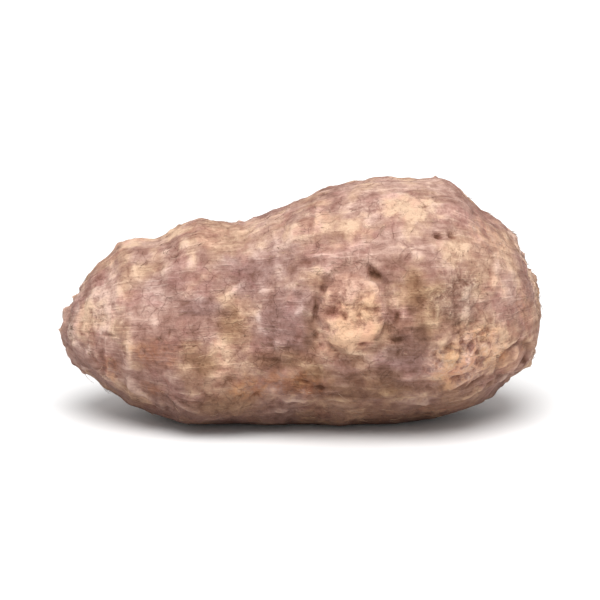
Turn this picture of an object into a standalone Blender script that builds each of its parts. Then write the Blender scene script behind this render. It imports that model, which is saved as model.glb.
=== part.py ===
"""A taro corm, lying on its side on a small flat spot.

Metres, +Z up. +X runs along the corm, from the end that grew on the mother corm to the growing tip. The front, with
the large bud scar, faces -Y. The origin is on the surface that the corm rests on, under the middle of its box.
"""

import math

import bmesh
import bpy
from mathutils import Matrix, Vector, noise

MM = 0.001

# Driving dimensions of the body
LENGTH = 85.0 * MM
DEPTH_SHARE = 0.95  # the corm's girth from front to back, as a share of its girth from top to bottom
BOW = 1.6 * MM  # how far the middle of the corm stands forward of its two ends

# The body at places along the corm: place from -1 at the mother end to 1 at the growing tip, fullness, and the
# height of the centre line. Fullness is the radius that a round end would need to have this girth.
STATIONS = (
    (-1.00, 16.0 * MM, 15.6 * MM),
    (-0.75, 19.7 * MM, 18.0 * MM),
    (-0.60, 18.8 * MM, 17.0 * MM),
    (-0.45, 19.6 * MM, 17.4 * MM),
    (-0.22, 17.8 * MM, 17.5 * MM),
    (0.10, 20.4 * MM, 20.6 * MM),
    (0.40, 23.0 * MM, 21.6 * MM),
    (0.60, 25.4 * MM, 21.6 * MM),
    (0.75, 24.8 * MM, 20.5 * MM),
    (0.87, 24.3 * MM, 20.5 * MM),
    (1.00, 26.5 * MM, 16.9 * MM),
)

# Lumps and dents: distance from the mother end, degrees round the corm from the front towards the top, half size,
# and height
LUMPS = (
    (3.5 * MM, 10.0, 3.5 * MM, 0.5 * MM),
    (6.0 * MM, -72.0, 4.0 * MM, -0.6 * MM),
    (44.5 * MM, 62.0, 3.2 * MM, 0.8 * MM),
    (62.0 * MM, 250.0, 9.0 * MM, 0.9 * MM),
    (36.0 * MM, -92.0, 8.0 * MM, 0.9 * MM),
    (44.0 * MM, -90.0, 9.0 * MM, 0.3 * MM),
    (66.0 * MM, 100.0, 3.6 * MM, 0.4 * MM),
    (72.5 * MM, 102.0, 4.0 * MM, -1.6 * MM),
    (77.5 * MM, -72.0, 5.0 * MM, -0.5 * MM),
    (30.0 * MM, 150.0, 8.0 * MM, 0.8 * MM),
    (34.0 * MM, -20.0, 7.0 * MM, 0.6 * MM),
    (67.0 * MM, -28.0, 5.5 * MM, 0.5 * MM),
)

# Soft unevenness of the whole body: size of each swelling, and how far it stands out
SWELLINGS = ((16.0 * MM, 1.3 * MM), (6.5 * MM, 0.55 * MM))

# The rings that leaves left round the corm, which crowd together towards both ends
FIRST_RING = 64.9 * MM  # distance of one ring from the mother end, from which the others are counted
RING_GAP = 7.1 * MM  # between rings at the middle of the corm
RING_HEIGHT = 0.6 * MM
RING_WIDTH = 0.9 * MM
RING_WANDER = 1.5 * MM  # how far a ring strays from a true circle
RING_WANDER_SIZE = 17.0 * MM
BULGE = 0.45 * MM  # how far the corm swells between two rings

# Bud scars: distance from the mother end, degrees round the corm from the front towards the top, half width along
# the corm, half height round it, and how far the scar stands out. A sunk scar has a negative height.
BUD_SCARS = {
    "side_shoot": (51.2 * MM, 10.0, 5.8 * MM, 7.3 * MM, 0.9 * MM),
    "mother_end": (1.2 * MM, 160.0, 5.4 * MM, 5.4 * MM, -0.6 * MM),
    "tip_eye": (79.0 * MM, -36.0, 3.4 * MM, 3.2 * MM, 0.55 * MM),
    "growing_tip": (82.6 * MM, 158.0, 4.4 * MM, 4.4 * MM, 1.5 * MM),
    "top_eye": (31.0 * MM, 128.0, 2.8 * MM, 2.6 * MM, 0.6 * MM),
    "back_shoot": (42.0 * MM, 176.0, 4.9 * MM, 5.6 * MM, 0.8 * MM),
    "back_eye": (66.0 * MM, 214.0, 3.1 * MM, 3.3 * MM, 0.6 * MM),
}
SCAR_GROOVE = 0.5 * MM  # depth of the furrow round a scar
SCAR_RIM = 0.3 * MM  # height of the rim outside the furrow
SCAR_UNEVEN = 0.16  # how far the outline of a scar strays from an oval, as a share of its half size
SCAR_UNEVEN_SIZE = 3.4 * MM

# The flat spot that the corm rests on
FLAT_DEPTH = 1.3 * MM  # how far the lowest point of the round body is pressed in
FLAT_EDGE = 0.5 * MM  # height over which the flat spot turns into the round body
SNAP = 0.06 * MM  # points this near to the rim of the flat spot are moved onto it, so that no sliver is left

# The mesh is shaped at a fine grid, and then thinned where the surface is plain
AROUND = 160
ALONG = 240
EVEN_OUT = 0.12  # moves vertices from the ends towards the middle of the corm
TRIANGLES = 11600

SKIN_COLOUR = (0.42, 0.27, 0.20, 1.0)
SKIN_ROUGHNESS = 0.85


def station_value(place, column):
    """A column of STATIONS at a place from -1 to 1, on a smooth curve through the stations."""
    rows = STATIONS
    at = next((i for i in range(len(rows) - 2) if place < rows[i + 1][0]), len(rows) - 2)
    before, after = rows[max(at - 1, 0)], rows[min(at + 2, len(rows) - 1)]
    low, high = rows[at], rows[at + 1]
    span = high[0] - low[0]
    slope_low = (high[column] - before[column]) / (high[0] - before[0]) * span
    slope_high = (after[column] - low[column]) / (after[0] - low[0]) * span
    t = (place - low[0]) / span
    return (
        (2 * t**3 - 3 * t**2 + 1) * low[column]
        + (t**3 - 2 * t**2 + t) * slope_low
        + (3 * t**2 - 2 * t**3) * high[column]
        + (t**3 - t**2) * slope_high
    )


def smooth_step(edge_0, edge_1, value):
    t = min(max((value - edge_0) / (edge_1 - edge_0), 0.0), 1.0)
    return t * t * (3 - 2 * t)


def body_point(place, angle, raise_by=0.0):
    """A point of the plain body. The angle is measured round the corm, from the front towards the top."""
    radius = station_value(place, 1) * math.sqrt(max(1 - place * place, 0.0)) + raise_by
    forward = BOW * (1 - place * place)
    return Vector(
        (
            place * LENGTH / 2,
            -forward - DEPTH_SHARE * radius * math.cos(angle),
            station_value(place, 2) + radius * math.sin(angle),
        )
    )


def ring_places():
    """Distances of the rings from the mother end."""

    def gap(distance):
        return RING_GAP * math.sqrt(max(math.sin(math.pi * distance / LENGTH), 0.06))

    rings = [FIRST_RING]
    while rings[0] - gap(rings[0]) > 0:
        rings.insert(0, rings[0] - gap(rings[0]))
    while rings[-1] + gap(rings[-1]) < LENGTH:
        rings.append(rings[-1] + gap(rings[-1]))
    return rings


def ring_relief(point, rings):
    """Height of the rings and of the swellings between them."""
    stray = noise.noise(point / RING_WANDER_SIZE) * RING_WANDER
    distance = point.x + LENGTH / 2 + stray
    near_end = smooth_step(0.0, 4.0 * MM, min(distance, LENGTH - distance))
    after = next((i for i, ring in enumerate(rings) if ring > distance), len(rings))
    before_x = rings[after - 1] if after > 0 else 0.0
    after_x = rings[after] if after < len(rings) else LENGTH
    to_ring = min(abs(distance - before_x), abs(after_x - distance))
    width = min(RING_WIDTH, (after_x - before_x) / 4)
    clearness = 0.65 + 0.6 * noise.noise(point / RING_WANDER_SIZE + Vector((7.3, 0.0, 2.1)))
    ridge = RING_HEIGHT * clearness * math.exp(-((to_ring / width) ** 2))
    swell = BULGE * math.sin(math.pi * (distance - before_x) / max(after_x - before_x, MM))
    return near_end * (ridge + swell)


def scar_frames():
    """For each bud scar its middle, the directions along and round the corm, its half sizes and its height."""
    frames = []
    for distance, degrees, half_along, half_round, height in BUD_SCARS.values():
        place = 2 * distance / LENGTH - 1
        angle = math.radians(degrees)
        middle = body_point(place, angle)
        step = 0.01
        along = (body_point(min(place + step, 1.0), angle) - body_point(place - step, angle)).normalized()
        out = (body_point(place, angle, MM) - middle).normalized()
        out = (out - along * out.dot(along)).normalized()
        frames.append((middle, along, along.cross(out), half_along, half_round, height))
    return frames


def scar_relief(point, frames):
    """Height of the bud scars at a point, and the share of the rings that shows there."""
    height, rings_show = 0.0, 1.0
    for middle, along, across, half_along, half_round, pad in frames:
        offset = point - middle
        if offset.length > 3 * max(half_along, half_round):
            continue
        side = offset - along * offset.dot(along) - across * offset.dot(across)
        far = math.sqrt(
            (offset.dot(along) / half_along) ** 2
            + (offset.dot(across) / half_round) ** 2
            + (side.length / max(half_along, half_round)) ** 2
        )
        far *= 1 + SCAR_UNEVEN * noise.noise(point / SCAR_UNEVEN_SIZE)
        furrow = SCAR_GROOVE * (0.75 + 0.9 * noise.noise(point / SCAR_UNEVEN_SIZE + Vector((3.1, 8.4, 0.7))))
        rim = SCAR_RIM * (0.9 + 1.2 * noise.noise(point / SCAR_UNEVEN_SIZE + Vector((0.0, 5.2, 9.6))))
        height += pad * (0.65 * (1 - smooth_step(0.62, 1.0, far)) + 0.35 * max(1 - far * far, 0.0))
        height -= furrow * math.exp(-(((far - 1.08) / 0.14) ** 2))
        height += rim * math.exp(-(((far - 1.38) / 0.18) ** 2))
        rings_show *= smooth_step(0.9, 1.4, far)
    return height, rings_show


def lump_relief(point):
    height = 0.0
    for distance, degrees, half_size, stands_out in LUMPS:
        middle = body_point(2 * distance / LENGTH - 1, math.radians(degrees))
        height += stands_out * math.exp(-((point - middle).length / half_size) ** 2)
    return height


def swelling_relief(point):
    return sum(noise.noise(point / size) * height for size, height in SWELLINGS)


def sphere_directions():
    """A sphere with its poles on the X axis, as a bmesh, with vertices moved to where the corm needs them."""
    mesh = bmesh.new()
    bmesh.ops.create_uvsphere(
        mesh,
        u_segments=AROUND,
        v_segments=ALONG,
        radius=1.0,
        matrix=Matrix.Rotation(math.radians(90), 4, "Y"),
    )
    return mesh


def shape_corm(mesh):
    """Moves the vertices of a unit sphere to the surface of the corm."""
    rings, frames = ring_places(), scar_frames()
    for vertex in mesh.verts:
        direction = vertex.co
        polar = math.acos(min(max(-direction.x, -1.0), 1.0))
        place = -math.cos(polar + EVEN_OUT * math.sin(2 * polar))
        angle = math.atan2(direction.z, -direction.y)
        plain = body_point(place, angle)
        scars, rings_show = scar_relief(plain, frames)
        relief = swelling_relief(plain) + lump_relief(plain) + scars + rings_show * ring_relief(plain, rings)
        vertex.co = plain
        vertex.co += surface_normal(place, angle) * relief


def surface_normal(place, angle):
    """Outward direction of the plain body."""
    step = 0.004
    if abs(place) > 1 - step:
        return Vector((math.copysign(1.0, place), 0.0, 0.0))
    along = body_point(place + step, angle) - body_point(place - step, angle)
    turn = body_point(place, angle + step) - body_point(place, angle - step)
    return along.cross(turn).normalized()


def ease_underside(mesh):
    """Puts the corm on the surface at z = 0, with its lowest part eased towards it and just below it."""
    lowest = min(vertex.co.z for vertex in mesh.verts)
    for vertex in mesh.verts:
        above = vertex.co.z - lowest - FLAT_DEPTH
        eased = (above + math.sqrt(above * above + FLAT_EDGE * FLAT_EDGE)) / 2
        vertex.co.z = eased - FLAT_EDGE / 4


def centre_on_origin(mesh):
    """Moves the corm so that the middle of its box is over the origin."""
    for axis in (0, 1):
        low = min(vertex.co[axis] for vertex in mesh.verts)
        high = max(vertex.co[axis] for vertex in mesh.verts)
        for vertex in mesh.verts:
            vertex.co[axis] -= (low + high) / 2


def cut_flat(mesh):
    """Cuts off what is below the surface that the corm rests on, and closes the cut with one flat face."""
    cut = bmesh.ops.bisect_plane(
        mesh,
        geom=mesh.verts[:] + mesh.edges[:] + mesh.faces[:],
        dist=SNAP,
        plane_co=(0.0, 0.0, 0.0),
        plane_no=(0.0, 0.0, -1.0),
        use_snap_center=True,
        clear_outer=True,
    )
    rim = [part for part in cut["geom_cut"] if isinstance(part, bmesh.types.BMVert)]
    bmesh.ops.remove_doubles(mesh, verts=rim, dist=SNAP)
    open_edges = [edge for edge in mesh.edges if edge.is_boundary]
    bmesh.ops.contextual_create(mesh, geom=open_edges)


def thinned(mesh):
    """The same surface with fewer triangles, as a mesh."""
    data = bpy.data.meshes.new("fine_grid")
    bmesh.ops.triangulate(mesh, faces=mesh.faces)
    mesh.to_mesh(data)
    fine = bpy.data.objects.new("fine_grid", data)
    bpy.context.scene.collection.objects.link(fine)
    thin = fine.modifiers.new("thin_out", "DECIMATE")
    thin.ratio = TRIANGLES / len(data.polygons)
    graph = bpy.context.evaluated_depsgraph_get()
    data = bpy.data.meshes.new_from_object(fine.evaluated_get(graph))
    bpy.data.objects.remove(fine)
    return data


def skin_material():
    material = bpy.data.materials.new("taro_skin")
    material.use_nodes = True
    shader = material.node_tree.nodes["Principled BSDF"]
    shader.inputs["Base Color"].default_value = SKIN_COLOUR
    shader.inputs["Roughness"].default_value = SKIN_ROUGHNESS
    shader.inputs["Metallic"].default_value = 0.0
    return material


def build_taro():
    """The corm grew as one piece, so it is one object."""
    mesh = sphere_directions()
    shape_corm(mesh)
    ease_underside(mesh)
    centre_on_origin(mesh)
    data = thinned(mesh)
    mesh.clear()
    mesh.from_mesh(data)
    cut_flat(mesh)
    bmesh.ops.recalc_face_normals(mesh, faces=mesh.faces)
    mesh.to_mesh(data)
    mesh.free()
    data.name = "taro"
    data.shade_smooth()
    data.materials.append(skin_material())
    return bpy.data.objects.new("taro", data)


def main():
    for old in list(bpy.data.objects):
        bpy.data.objects.remove(old)
    collection = bpy.data.collections.new("taro")
    bpy.context.scene.collection.children.link(collection)
    collection.objects.link(build_taro())


main()
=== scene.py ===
"""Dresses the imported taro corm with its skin, root hairs and ring fibres, on a plain pale stage.

Metres, +Z up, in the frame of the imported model. +X runs along the corm to its growing tip, and the front
faces -Y.
"""

import math
import random

import bpy
import numpy as np
from bpy.props import FloatProperty, FloatVectorProperty, IntProperty, PointerProperty
from bpy.types import Operator, Panel, PropertyGroup
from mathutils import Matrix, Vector, noise
from mathutils.bvhtree import BVHTree
from mathutils.kdtree import KDTree


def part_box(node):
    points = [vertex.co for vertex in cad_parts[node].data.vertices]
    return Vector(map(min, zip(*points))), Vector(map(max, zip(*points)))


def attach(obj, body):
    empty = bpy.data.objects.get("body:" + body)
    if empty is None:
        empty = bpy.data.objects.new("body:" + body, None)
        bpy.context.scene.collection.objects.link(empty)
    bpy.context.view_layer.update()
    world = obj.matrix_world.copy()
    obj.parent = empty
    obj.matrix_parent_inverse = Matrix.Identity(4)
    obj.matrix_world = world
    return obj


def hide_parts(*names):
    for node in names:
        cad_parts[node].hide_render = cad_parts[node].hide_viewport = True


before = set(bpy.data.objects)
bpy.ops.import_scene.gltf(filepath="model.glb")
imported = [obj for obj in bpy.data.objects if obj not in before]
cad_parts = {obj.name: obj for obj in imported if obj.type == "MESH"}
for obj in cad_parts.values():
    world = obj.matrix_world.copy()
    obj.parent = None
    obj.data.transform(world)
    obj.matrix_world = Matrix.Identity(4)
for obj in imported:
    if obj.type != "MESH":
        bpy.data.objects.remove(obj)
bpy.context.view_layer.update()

bl_info = {
    "name": "Taro corm",
    "version": (1, 0, 0),
    "blender": (4, 5, 0),
    "location": "3D View > Sidebar > Taro",
    "description": "Builds the skin, root hairs and ring fibres of a taro corm, and a stage",
    "category": "Object",
}

MM = 0.001
NODE = "taro"
BODY = "root"
LOW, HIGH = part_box(NODE)

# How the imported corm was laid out: its length before its ends were shaped, and how far it was moved
BODY_LENGTH = 85.0 * MM
MOVED = Vector((0.2, 1.4, -0.14)) * MM

# How far the rows of the skin's points are moved from its ends to its middle
ROWS_OFF_ENDS = 0.2

# The rings that leaves left. Their gap goes with the square root of the corm's girth, which counts as
# this share of its middle at least.
FIRST_RING = 64.9 * MM
RING_GAP = 7.1 * MM
RING_WANDER = 1.5 * MM
LEAST_GIRTH = 0.06

# Across a ring: wobble and width of its edge, the groove behind it, and the length of its comb of fibres
RING_WOBBLE = 0.5 * MM
RING_WIDTH = 0.45 * MM
GROOVE_BEHIND = 1.0 * MM
GROOVE_WIDTH = 0.4 * MM
COMB_LENGTH = 2.2 * MM

# Towards the ends, by distance from the corm's middle: where rings get clearer and lower, and combs fade
CLEARER = 20 * MM, 38 * MM
COMBLESS = 44 * MM, 30 * MM
LOWER = 42 * MM, 34 * MM

# Bud scars: middle in millimetres, half width along the corm, and half height round it
BUD_SCARS = {
    "side_shoot": ((8.9, -19.6, 24.6), 5.8 * MM, 7.3 * MM),
    "mother_end": ((-41.1, 4.8, 17.1), 5.4 * MM, 5.4 * MM),
    "tip_eye": ((36.7, -8.6, 13.2), 3.4 * MM, 3.2 * MM),
    "growing_tip": ((40.3, 8.6, 21.7), 4.4 * MM, 4.4 * MM),
    "top_eye": ((-11.3, 10.0, 30.8), 2.8 * MM, 2.6 * MM),
    "back_shoot": ((-0.3, 18.1, 20.8), 4.9 * MM, 5.6 * MM),
    "back_eye": ((23.7, 16.7, 9.9), 3.1 * MM, 3.3 * MM),
}
SCAR_UNEVEN = 0.16
SCAR_UNEVEN_SIZE = 3.4 * MM

# Round a bud scar, in shares of its radius: where its pad ends, and middle and half width of each band.
# Then the heights of the pad's crumples, its furrow and the fine circles, and how close the circles are.
PAD_EDGE = 0.88, 1.03
SCAR_BANDS = {"furrow": (1.1, 0.09), "moat": (1.14, 0.15), "rim": (1.36, 0.1), "circles": (1.5, 0.35)}
PAD_CRUMPLE = 0.35 * MM
FURROW_DEPTH = 0.25 * MM
CIRCLE_HEIGHT = 0.09 * MM
CIRCLE_RATE = 26

# Lumps, crumples and grit: heights, and how far the places that they are read at are bent
CRUMPLE_HEIGHT = 0.8 * MM
GRIT_HEIGHT = 0.06 * MM
BEND = 0.8 * MM
BEND_SIZE = 4 * MM

# Size of the swellings of each noise on the skin. Each noise has a field of its own, in this order.
SWELLINGS = {
    "ring wander": 17.0 * MM,
    "patch edge": 3.0 * MM,
    "fine patch edge": 1.3 * MM,
    "pad edge": 1.2 * MM,
    "pad crumple": 1.7 * MM,
    "fine pad crumple": 0.9 * MM,
    "circles": 4.0 * MM,
    "furrow": 2.6 * MM,
    "scar rim": 4.0 * MM,
    "ring wobble": 2.2 * MM,
    "clear rings": 6.0 * MM,
    "fine clear rings": 1.5 * MM,
    "comb": 0.75 * MM,
    "large worn": 5.5 * MM,
    "worn": 2.4 * MM,
    "fine worn": 1.1 * MM,
    "worn streaks": 1.5 * MM,
    "wrinkles": 1.3 * MM,
    "fine wrinkles": 0.7 * MM,
    "large lumps": 4.8 * MM,
    "small lumps": 1.9 * MM,
    "grit": 0.9 * MM,
    "mark edge": 1.4 * MM,
    "swell": 5.5 * MM,
    "moat": 4.0 * MM,
    "hidden rings": 7.0 * MM,
    "crumples": 2.1 * MM,
    "fine crumples": 1.1 * MM,
}
FIELDS = {name: (size, number) for number, (name, size) in enumerate(SWELLINGS.items())}
NEXT_FIELD = Vector((17.3, 9.1, 31.7))

# The photograph looks from -Y and down on the corm, at this angle over the level
VIEW_ELEVATION = math.radians(15)

# Hollows that show from the front, as the camera sees them. In millimetres, but for the turn in degrees:
# middle along the corm, middle above its lower edge, half length, half width, turn, depth
HOLLOWS = {
    "scar": (
        (12.8, 26.4, 1.9, 0.9, -35, 0.75),
        (6.3, 23.9, 0.6, 0.5, 0, 0.2),
        (6.6, 21.6, 1.2, 0.6, 25, 0.3),
        (5.4, 20.3, 1.8, 1.1, 20, 0.5),
        (7.7, 19.3, 0.9, 0.65, 90, 0.5),
        (10.0, 19.4, 0.7, 0.6, 90, 0.25),
        (11.3, 20.6, 1.0, 0.6, -40, 0.4),
        (13.1, 20.4, 1.1, 0.7, 0, 0.45),
        (12.2, 18.9, 0.9, 0.5, 90, 0.25),
        (10.6, 14.6, 1.5, 0.6, 0, 0.45),
        (13.3, 15.6, 1.2, 0.6, 25, 0.25),
        (4.0, 24.0, 0.8, 0.6, 60, 0.3),
        (2.7, 20.7, 2.6, 0.35, 85, 0.3),
        (2.7, 16.1, 0.8, 0.6, 90, 0.4),
        (3.7, 14.4, 1, 0.5, -55, 0.35),
        (16.6, 19.2, 1.2, 0.6, 90, 0.5),
        (16.4, 15.2, 1.6, 0.7, 5, 0.45),
        (15.1, 17.1, 1.3, 0.6, 80, 0.25),
    ),
    "mother end": (
        (-33.4, 16.0, 2.4, 0.3, 0, 0.25),
        (-33.9, 19.4, 0.6, 0.35, 0, 0.2),
        (-31.1, 19.7, 1, 0.35, 10, 0.2),
        (-38.2, 13.8, 0.9, 0.3, 75, 0.2),
        (-21.7, 29.8, 1.2, 0.5, 0, 0.25),
        (-17.8, 26.2, 0.8, 0.5, 30, 0.2),
        (-20.6, 24.0, 1, 0.4, 0, 0.2),
        (-17.6, 19.5, 2.4, 0.3, 0, 0.25),
        (-22.6, 16.4, 1, 0.45, 80, 0.2),
        (-20.1, 17.9, 1.2, 0.6, 80, 0.2),
        (-20.7, 14.0, 0.9, 0.4, -15, 0.25),
        (-24.3, 15.3, 1.2, 0.4, 0, 0.2),
        (-30.6, 6.9, 1, 0.5, 0, 0.3),
        (-33.6, 8.7, 0.8, 0.5, -60, 0.3),
        (-16.4, 5.7, 2, 0.45, -38, 0.3),
        (-18.3, 4.3, 1, 0.5, 0, 0.3),
        (-23.1, 3.4, 0.9, 0.5, 60, 0.3),
        (-26.0, 3.5, 1.1, 0.5, 0, 0.3),
    ),
    "waist": (
        (0.7, 31.8, 1.3, 0.9, 10, 0.25),
        (0.8, 28.8, 1.8, 0.5, -20, 0.3),
        (-10.6, 26.8, 1.1, 0.6, 20, 0.15),
        (-4.9, 16.6, 1, 0.6, 90, 0.15),
        (-2.1, 13.9, 1.1, 0.6, 25, 0.3),
        (1.5, 11.4, 1.1, 0.7, 90, 0.25),
        (-1.4, 10.5, 1.3, 1.2, 0, 0.25),
        (-4.6, 11.7, 1.9, 0.6, 0, 0.25),
        (-12.2, 8.4, 1.3, 0.8, 0, 0.25),
        (0.8, 8.1, 1.5, 0.4, -8, 0.3),
        (3.3, 7.1, 1.5, 0.7, 0, 0.35),
        (5.5, 5.7, 0.9, 0.4, 0, 0.25),
        (-7.6, 5.7, 0.9, 0.7, 30, 0.3),
        (-10.4, 5.3, 1.1, 0.6, 0, 0.3),
    ),
    "growing tip": (
        (23.8, 33.4, 0.95, 0.8, 0, 0.6),
        (26.3, 33.5, 0.9, 0.9, 0, 0.6),
        (26.3, 31.0, 0.8, 0.35, 0, 0.2),
        (25.9, 29.1, 1, 0.45, 35, 0.25),
        (21.4, 39.8, 1.6, 0.4, 5, 0.2),
        (23.8, 39.3, 1.1, 0.6, 15, 0.25),
        (19.2, 41.4, 1.9, 0.35, 0, 0.2),
        (19.8, 25.4, 1.3, 0.8, 90, 0.25),
        (17.0, 24.8, 1.3, 0.6, 0, 0.25),
        (21.7, 22.7, 1.2, 0.5, 0, 0.2),
        (27.2, 25.1, 1.9, 0.35, 10, 0.15),
        (29.5, 23.6, 1.9, 0.3, 5, 0.15),
        (34.8, 26.4, 0.9, 0.7, 0, 0.2),
        (38.0, 22.6, 1.9, 0.4, 90, 0.25),
        (39.5, 22.9, 1.6, 0.35, 90, 0.2),
        (27.3, 18.1, 0.7, 0.45, 0, 0.3),
        (29.2, 18.1, 0.6, 0.5, 0, 0.3),
        (30.4, 18.5, 0.6, 0.5, 60, 0.3),
        (29.6, 17.1, 2.2, 0.35, 3, 0.2),
        (20.9, 17.0, 2.3, 0.6, 0, 0.2),
        (31.5, 15.0, 0.7, 0.6, 0, 0.35),
        (25.6, 13.9, 1.1, 0.5, -25, 0.35),
        (27.7, 13.1, 0.9, 0.5, 90, 0.35),
        (29.3, 14.3, 0.9, 0.6, 40, 0.35),
        (31.0, 12.5, 0.9, 0.5, 90, 0.3),
        (23.7, 10.9, 0.8, 0.5, -70, 0.4),
        (27.7, 9.1, 1.6, 0.45, 3, 0.4),
        (29.8, 7.6, 2, 0.45, 10, 0.4),
        (26.7, 6.6, 2.6, 0.35, 6, 0.3),
        (18.2, 7.1, 1.3, 0.5, 0, 0.3),
        (33.2, 7.8, 1.2, 0.9, 10, 0.35),
        (38.1, 15.1, 1.3, 0.6, 20, 0.25),
        (39.3, 12.1, 1.3, 0.4, 50, 0.25),
    ),
}

# Raised dry flecks and ridges that show from the front, in the same order, with a height for the depth
RAISED = {
    "scar": (
        (9.0, 23.0, 2.9, 1.0, 90, 0.5),
        (12.2, 24.8, 1.7, 0.8, -15, 0.5),
        (13.1, 23.4, 1, 0.8, -40, 0.25),
        (4.8, 22.8, 1, 0.6, 70, 0.2),
        (14.6, 21.4, 1.6, 0.5, 90, 0.2),
        (5.9, 18.2, 1.3, 1, 0, 0.35),
        (9.6, 16.0, 4.2, 1.4, 0, 0.45),
        (6.2, 15.2, 2.2, 0.9, 15, 0.3),
        (12.9, 17.1, 1.3, 1, 0, 0.3),
        (10.0, 13.1, 2.1, 0.6, -5, 0.35),
        (5.4, 27.1, 1.5, 1.1, -30, 0.2),
        (17.7, 19.6, 0.8, 0.35, 90, 0.2),
        (16.6, 22.0, 1.9, 0.45, 90, 0.15),
    ),
    "mother end": (
        (-39.3, 14.6, 0.9, 0.45, 35, 0.3),
        (-29.6, 14.3, 1.9, 0.8, 85, 0.4),
        (-29.8, 11.2, 2, 0.85, 92, 0.45),
        (-29.4, 7.8, 2.4, 0.85, 110, 0.5),
        (-30.7, 18.3, 1.4, 0.5, 52, 0.25),
        (-33.7, 20.9, 1.1, 0.4, 90, 0.2),
        (-31.2, 23.6, 1.1, 0.9, 0, 0.2),
        (-23.0, 30.5, 0.9, 0.5, 30, 0.2),
        (-20.1, 31.7, 1.2, 0.9, -40, 0.2),
        (-19.0, 28.5, 1.3, 0.8, 75, 0.3),
        (-22.7, 27.1, 2, 0.7, 12, 0.2),
        (-17.6, 22.9, 1.3, 1, 20, 0.25),
        (-24.9, 17.8, 1.4, 0.5, 85, 0.2),
        (-34.5, 9.1, 1.8, 0.4, -45, 0.4),
        (-20.9, 4.3, 3.4, 0.5, -24, 0.5),
        (-27.5, 6.0, 2.8, 0.5, -18, 0.5),
        (-32.5, 8.4, 2.4, 0.5, -35, 0.5),
        (-35.3, 12.6, 1.4, 0.6, -50, 0.4),
    ),
    "waist": (
        (-11.9, 23.3, 1.9, 0.7, 35, 0.35),
        (-14.3, 31.2, 1.2, 0.6, -15, 0.2),
        (-8.0, 33.8, 1.8, 0.7, 25, 0.2),
        (-5.9, 23.8, 0.9, 0.6, 0, 0.2),
        (-1.2, 24.7, 1.5, 0.4, 10, 0.2),
        (3.0, 29.7, 2.4, 0.4, -3, 0.25),
        (-1.3, 33.8, 1.8, 0.8, 65, 0.25),
        (-7.0, 19.3, 2, 0.5, 85, 0.25),
        (-3.5, 14.6, 1.3, 0.8, 0, 0.2),
        (-14.6, 9.2, 1.5, 0.5, 5, 0.3),
        (0.8, 6.5, 1.6, 0.6, -10, 0.45),
        (-4.3, 6.5, 1.2, 1, 0, 0.2),
        (8.0, 7.5, 1.9, 0.3, 0, 0.2),
        (-3.8, 3.0, 1.9, 0.6, 8, 0.4),
        (-1.5, 5.0, 2.2, 0.6, -8, 0.4),
        (7.0, 5.0, 2, 0.5, 0, 0.35),
    ),
    "growing tip": (
        (15.3, 5.9, 1.4, 0.7, -3, 0.5),
        (17.7, 8.7, 1.6, 0.6, 0, 0.25),
        (21.2, 4.4, 1.7, 0.6, -5, 0.5),
        (21.6, 6.1, 2.2, 0.7, -5, 0.5),
        (23.6, 19.6, 2, 0.4, 90, 0.3),
        (28.8, 31.4, 1.4, 0.9, 70, 0.2),
        (20.1, 29.8, 1.2, 0.8, -35, 0.2),
        (29.8, 24.7, 1.3, 0.35, 15, 0.25),
        (36.9, 26.7, 1.3, 1.2, 0, 0.2),
        (27.8, 19.3, 0.9, 0.6, 20, 0.25),
        (24.3, 15.0, 1.4, 0.7, 10, 0.45),
        (26.6, 12.2, 1.3, 0.6, 5, 0.5),
        (28.4, 11.6, 1, 0.7, 70, 0.55),
        (24.7, 10.1, 1.1, 0.7, -50, 0.5),
        (28.3, 8.3, 3.6, 0.45, 12, 0.5),
        (29.1, 5.7, 2.6, 0.5, 5, 0.45),
        (32.2, 15.9, 1.9, 0.4, 8, 0.25),
        (37.4, 12.5, 1.6, 0.5, 80, 0.35),
        (35.6, 14.0, 1.6, 0.4, -12, 0.25),
        (35.9, 10.9, 1.5, 0.4, 20, 0.2),
    ),
}

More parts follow.
